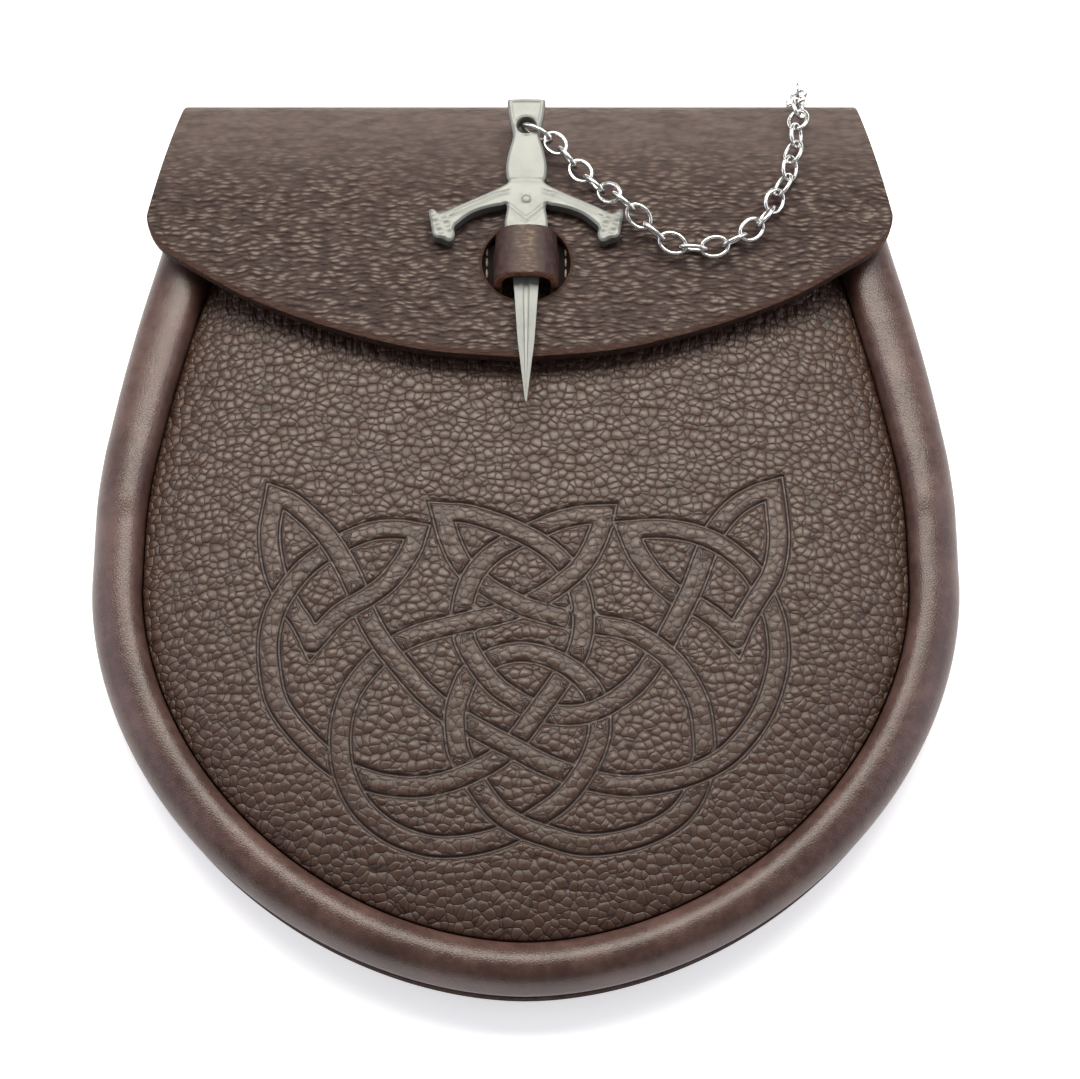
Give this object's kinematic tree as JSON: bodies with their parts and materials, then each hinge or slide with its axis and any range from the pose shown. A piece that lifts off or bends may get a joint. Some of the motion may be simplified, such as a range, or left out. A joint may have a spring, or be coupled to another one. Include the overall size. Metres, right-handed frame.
{
  "type": "sporran pouch",
  "caption": "Leather pouch with a rolled edge, a domed front and a curved flap, closed by a small dirk pin through a loop and held by a fine chain.",
  "frame": {"origin": "On the ground that the pouch lies on, half way across its back and 6 mm above its widest level", "axes": "X runs across the pouch, +Y to the fold of its flap, and +Z out of its front"},
  "size_m": [0.19, 0.2215, 0.0307],
  "materials": {
    "grained_leather": "dark brown pebbled leather, semi-matt",
    "smooth_leather": "dark brown smooth leather with a soft sheen",
    "cast_metal": "satin silver-coloured casting",
    "chain_metal": "polished silver-coloured wire"
  },
  "bodies": {
    "root": {"cover": "grained_leather", "gusset": "smooth_leather", "front_panel": "grained_leather", "closure_loop": "smooth_leather", "belt_loop": "smooth_leather", "dirk_pin": "cast_metal", "jump_ring": "chain_metal", "link_01": "chain_metal", "link_02": "chain_metal", "link_03": "chain_metal", "link_04": "chain_metal", "link_05": "chain_metal", "link_06": "chain_metal", "link_07": "chain_metal", "link_08": "chain_metal", "link_09": "chain_metal", "link_10": "chain_metal", "link_11": "chain_metal", "link_12": "chain_metal", "link_13": "chain_metal", "link_14": "chain_metal", "link_15": "chain_metal", "link_16": "chain_metal", "link_17": "chain_metal", "link_18": "chain_metal", "link_19": "chain_metal", "link_20": "chain_metal", "link_21": "chain_metal", "link_22": "chain_metal", "link_23": "chain_metal", "link_24": "chain_metal", "chain_anchor": "chain_metal"}
  },
  "joints": []
}
